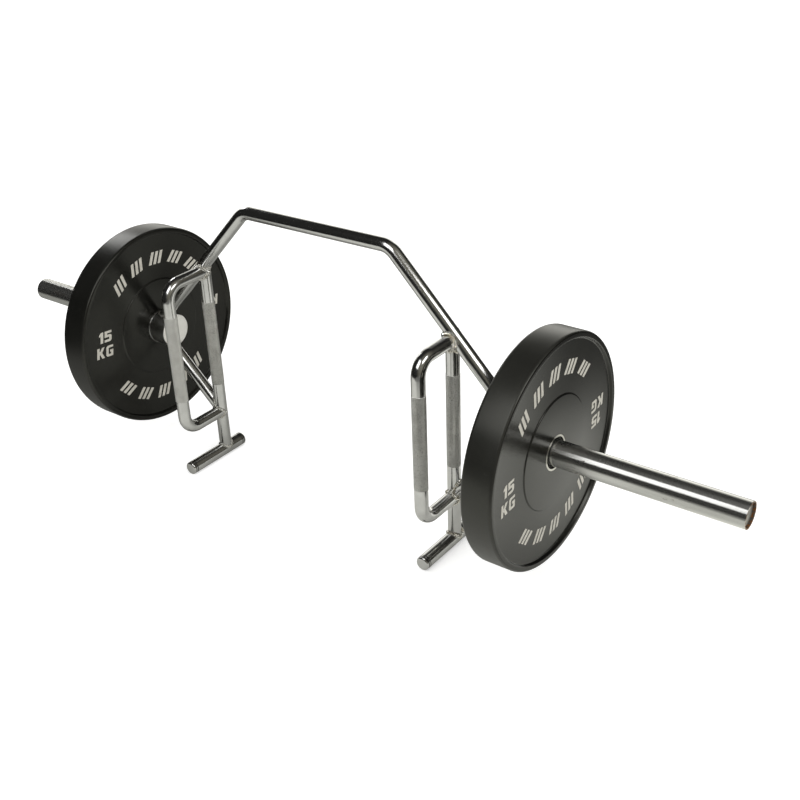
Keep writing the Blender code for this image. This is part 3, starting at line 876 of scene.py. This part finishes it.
def build_plate(side, sign, finishes):
    body = "plate_" + side
    rubber = turned(
        "fine_rubber_" + side, plate_outline(), sign, finishes["rubber"], PLATE_SIDES, closed=True
    )
    rubber.data.materials.append(finishes["tread_" + side])
    for face in rubber.data.polygons:
        tread = off_axis(face) > PLATE_RADIUS - PLATE_EDGE_HEIGHT / 2
        face.material_index = 1 if tread else 0
    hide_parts("plate_rubber_" + side)
    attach(rubber, body)

    bore = SLEEVE_RADIUS + SEAT_GAP
    step = INSERT_RADIUS - INSERT_FLANGE_WIDTH
    ring = turned("fine_insert_" + side, soften([
        (INSERT_INNER_X + 2 * INSERT_STEP_DEPTH, bore),
        (INSERT_INNER_X + INSERT_STEP_DEPTH, bore + INSERT_CHAMFER),
        (INSERT_INNER_X + INSERT_STEP_DEPTH, step),
        (INSERT_INNER_X, step),
        (INSERT_INNER_X, INSERT_RADIUS),
        (INSERT_OUTER_X, INSERT_RADIUS),
        (INSERT_OUTER_X, step),
        (INSERT_OUTER_X - INSERT_STEP_DEPTH, step),
        (INSERT_OUTER_X - INSERT_STEP_DEPTH, bore + INSERT_CHAMFER),
        (INSERT_OUTER_X - 2 * INSERT_STEP_DEPTH, bore),
    ], INSERT_EDGE), sign, finishes["insert"], closed=True)
    # The counterbore and the side that faces into the plate are painted black as painted shade
    ring.data.materials.append(finishes["gap"])
    for face in ring.data.polygons:
        radius = off_axis(face)
        inward = abs(face.center.x) < PLATE_INNER_X + BOSS_RECESS
        dark = inward and radius < INSERT_RADIUS - INSERT_RIM_MARGIN
        face.material_index = 1 if dark or radius < step + INSERT_STEP_MARGIN else 0
    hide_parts("plate_insert_" + side)
    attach(ring, body)

    faces = (
        ("outer", PLATE_OUTER_X - PLATE_FACE_RECESS, 1),
        ("inner", PLATE_INNER_X + PLATE_FACE_RECESS, -1),
    )
    for face, distance, facing in faces:
        name = "marks_%s_%s" % (face, side)
        marks = face_marks(name, sign * distance, sign * facing, PLATE_TURNS[side], finishes)
        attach(marks, body)


def face_marks(name, x, facing, plate_turn, finishes):
    """The weight at both sides of a face, and plain slanted stripes along its top and bottom."""
    def place(u, v, height):
        return at(x + facing * height, facing * u, v)

    outlines = []
    for turn in (0.0, math.pi):
        spin = Matrix.Rotation(turn + facing * plate_turn, 2)
        for glyph in weight_glyphs():
            outlines.append([spin @ Vector((u - WEIGHT_MARK_OFFSET, v)) for u, v in glyph])
        for stripe in stripe_arc():
            outlines.append([spin @ Vector(corner) for corner in stripe])
    return plaque(name, outlines, place, finishes["mark"])


def stripe_arc():
    """Five groups of three slanted stripes on an arc over the middle of the face."""
    middle = (MARK_INNER_RADIUS + MARK_OUTER_RADIUS) / 2
    half = (MARK_OUTER_RADIUS - MARK_INNER_RADIUS) / 2
    outlines = []
    for group in (2, 1, 0, -1, -2):
        spin = Matrix.Rotation(MARK_STEP_ANGLE * group, 2)
        for start in STRIPE_STARTS:
            corners = [
                (start - STRIPE_SLANT, middle - half),
                (start + STRIPE_WIDTH - STRIPE_SLANT, middle - half),
                (start + STRIPE_WIDTH + STRIPE_SLANT, middle + half),
                (start + STRIPE_SLANT, middle + half),
            ]
            outlines.append([spin @ Vector(corner) for corner in corners])
    return outlines


def weight_glyphs():
    """The weight, 15 over KG, as block figures round the origin."""
    one = [
        (0.12, 0.0), (0.40, 0.0), (0.40, 1.0), (0.16, 1.0), (-0.04, 0.80), (-0.04, 0.62),
        (0.12, 0.70),
    ]
    five = [
        (0.0, 0.0), (0.62, 0.0), (0.78, 0.14), (0.78, 0.52), (0.64, 0.64), (0.26, 0.64),
        (0.26, 0.79), (0.76, 0.79), (0.76, 1.0), (0.0, 1.0), (0.0, 0.43), (0.48, 0.43),
        (0.52, 0.39), (0.52, 0.25), (0.48, 0.21), (0.0, 0.21),
    ]
    kay = [
        (0.0, 0.0), (0.26, 0.0), (0.26, 0.36), (0.34, 0.40), (0.56, 0.0), (0.86, 0.0),
        (0.53, 0.54), (0.82, 1.0), (0.53, 1.0), (0.34, 0.68), (0.26, 0.66), (0.26, 1.0),
        (0.0, 1.0),
    ]
    gee = [
        (0.14, 0.0), (0.78, 0.0), (0.78, 0.58), (0.42, 0.58), (0.42, 0.39), (0.54, 0.39),
        (0.54, 0.20), (0.30, 0.20), (0.25, 0.25), (0.25, 0.75), (0.30, 0.80), (0.76, 0.80),
        (0.76, 1.0), (0.14, 1.0), (0.0, 0.86), (0.0, 0.14),
    ]
    figures = (
        (one, -0.55, NUMBER_BASE),
        (five, 0.02, NUMBER_BASE),
        (kay, -0.95, UNIT_BASE),
        (gee, 0.07, UNIT_BASE),
    )
    glyphs = []
    for outline, start, base in figures:
        glyphs.append([
            ((u + start + FIGURE_SLANT * v) * FIGURE_HEIGHT, base + v * FIGURE_HEIGHT)
            for u, v in outline
        ])
    return glyphs


# Parts that stay as the CAD has them

def dress_inner_parts(finishes):
    kinds = {
        "spindle": "steel",
        "shaft_washer": "steel",
        "shaft_ring": "steel",
        "thrust_washer": "nylon",
        "inner_bush": "bronze",
        "outer_bush": "bronze",
        "cap_ring": "rust",
    }
    for side, _ in SIDES:
        for kind, finish in kinds.items():
            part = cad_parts[kind + "_" + side]
            part.data.materials.clear()
            part.data.materials.append(finishes[finish])


# Studio

CAMERA_PLACE = (1.3454, -1.5163, 1.03666)
CAMERA_YAW = math.radians(37.24581)
CAMERA_PITCH = math.radians(28.42631)
CAMERA_ROLL = math.radians(-2.12067)
FOCAL_PIXELS = 1108.21338
PHOTO_PIXELS = 800
SENSOR_WIDTH = 36.0

WHITE = (1.0, 1.0, 1.0)
BLACK = (0.0, 0.0, 0.0)

# What the reflections see. The backdrop's azimuths count from +X towards +Y. A pair of numbers
# says where along its direction a change starts and where it ends.
BACKDROP_LEFT = math.radians(163.0)
BACKDROP_RIGHT = math.radians(97.0)
BACKDROP_EDGE = (-0.05, 0.05)
BACKDROP_UP = Vector((-0.3, 0.0, 1.0))
BACKDROP_TOP = (0.35, 0.74)
BACKDROP_COLOUR = (1.70, 1.68, 1.57)
ROOM_DARK = (0.020, 0.020, 0.019)
ROOM_BRIGHT = (0.20, 0.19, 0.155)
ROOM_BRIGHT_SIDE = Vector((0.81, -0.22, 0.54))
ROOM_BRIGHT_EDGE = (0.42, 0.9)
AMBIENT = (0.86, 0.86, 0.85)

FLOOR_RADIUS = 8.0
FLOOR_COLOUR = (0.80, 0.80, 0.79)
FLOOR_GLOW = 0.50
FLOOR_MIRRORED = (0.68, 0.68, 0.64)
# (direction, where a change of the floor's brightness starts, where it ends, brightness there)
FLOOR_FADES = (
    (Vector((-0.8, -0.6, 0.0)), 1.25, 1.65, 0.03),
    (Vector((0.6, -0.8, 0.0)), 0.95, 1.18, 0.25),
    (Vector((0.7, 0.7, 0.0)), 0.42, 0.58, 1.45),
    (Vector((-0.7, 0.7, 0.0)), 0.05, 0.22, 0.5),
    (Vector((0.3, 0.95, 0.0)), 0.66, 1.10, 0.12),
)

# (name, place, point that it faces, width, height, power in watts)
LAMPS = (
    ("front", (0.16, -1.27, 1.76), (0.40, 0.0, 0.28), 1.05, 1.10, 9.6),
    ("right", (1.72, -0.20, 1.85), (0.30, 0.0, 0.45), 1.15, 0.60, 9.0),
    ("left", (-1.97, 0.68, 1.58), (-0.52, 0.0, 0.45), 0.55, 0.40, 4.5),
)


def set_view():
    """Colours render as they are written."""
    bpy.context.scene.view_settings.view_transform = "Standard"


def build_camera():
    """Camera that a fit of the tubes' and plates' outlines in the photograph gave."""
    ahead = Vector((
        -math.sin(CAMERA_YAW) * math.cos(CAMERA_PITCH),
        math.cos(CAMERA_YAW) * math.cos(CAMERA_PITCH),
        -math.sin(CAMERA_PITCH),
    ))
    level = Vector((math.cos(CAMERA_YAW), math.sin(CAMERA_YAW), 0.0))
    upright = level.cross(ahead)
    right = level * math.cos(CAMERA_ROLL) + upright * math.sin(CAMERA_ROLL)
    top = upright * math.cos(CAMERA_ROLL) - level * math.sin(CAMERA_ROLL)
    data = bpy.data.cameras.new("camera")
    data.sensor_width = SENSOR_WIDTH
    data.lens = FOCAL_PIXELS * SENSOR_WIDTH / PHOTO_PIXELS
    camera = bpy.data.objects.new("camera", data)
    turn = Matrix((right, top, -ahead)).transposed().to_4x4()
    camera.matrix_world = Matrix.Translation(at(*CAMERA_PLACE)) @ turn
    bpy.context.scene.collection.objects.link(camera)
    bpy.context.scene.camera = camera


def build_world():
    """White to the camera; reflections see a dark room with a bright backdrop behind the bar."""
    world = bpy.data.worlds.new("studio")
    bpy.context.scene.world = world
    world.use_nodes = True
    tree = world.node_tree
    ray = node(tree, "ShaderNodeLightPath")
    way = node(tree, "ShaderNodeTexCoord").outputs["Generated"]
    backdrop = spread(tree, projected(tree, way, BACKDROP_UP), 1.0, 0.0, *BACKDROP_TOP)
    for azimuth in (BACKDROP_LEFT - math.pi / 2, BACKDROP_RIGHT + math.pi / 2):
        inward = Vector((math.cos(azimuth), math.sin(azimuth), 0.0))
        inside = spread(tree, projected(tree, way, inward), 0.0, 1.0, *BACKDROP_EDGE)
        backdrop = times(tree, backdrop, inside)
    bright = spread(tree, projected(tree, way, ROOM_BRIGHT_SIDE), 0.0, 1.0, *ROOM_BRIGHT_EDGE)
    room = blend(tree, bright, ROOM_DARK, ROOM_BRIGHT)
    mirrored = blend(tree, backdrop, room, BACKDROP_COLOUR)
    lit = blend(tree, ray.outputs["Is Diffuse Ray"], mirrored, AMBIENT)
    seen = blend(tree, ray.outputs["Is Camera Ray"], lit, WHITE)
    feed(tree, tree.nodes["Background"], {"Color": seen, "Strength": 1.0})


def build_floor():
    """White floor that keeps the object's shadow; further out it mirrors as a dark room."""
    shape = bmesh.new()
    bmesh.ops.create_circle(shape, cap_ends=True, segments=64, radius=FLOOR_RADIUS)
    data = bpy.data.meshes.new("floor")
    shape.to_mesh(data)
    shape.free()
    finish, tree, shader, place = new_material("white floor")
    ray = node(tree, "ShaderNodeLightPath")
    level = 1.0
    for direction, near, far, share in FLOOR_FADES:
        fade = spread(tree, projected(tree, place, direction), 1.0, share, near, far)
        level = times(tree, level, fade)
    mirrored = blend(tree, level, BLACK, FLOOR_MIRRORED)
    feed(tree, shader, {
        "Base Color": blend(tree, ray.outputs["Is Glossy Ray"], FLOOR_COLOUR, mirrored),
        "Roughness": 1.0,
        "Specular IOR Level": 0.0,
        "Emission Color": (*WHITE, 1),
        "Emission Strength": times(tree, ray.outputs["Is Camera Ray"], FLOOR_GLOW),
    })
    floor = add_piece("floor", data, finish)


def build_lamps():
    for name, place, target, wide, high, power in LAMPS:
        data = bpy.data.lights.new(name, "AREA")
        data.shape = "RECTANGLE"
        data.size = wide
        data.size_y = high
        data.energy = power
        lamp = bpy.data.objects.new(name, data)
        lamp.location = place
        lamp.rotation_euler = (Vector(target) - Vector(place)).to_track_quat("-Z", "Y").to_euler()
        bpy.context.scene.collection.objects.link(lamp)


def main():
    finishes = build_finishes()
    build_frame(finishes)
    for side, sign in SIDES:
        build_hub(side, sign, finishes)
        build_sleeve(side, sign, finishes)
        build_plate(side, sign, finishes)
    dress_inner_parts(finishes)
    set_view()
    build_world()
    build_floor()
    build_lamps()
    build_camera()


main()
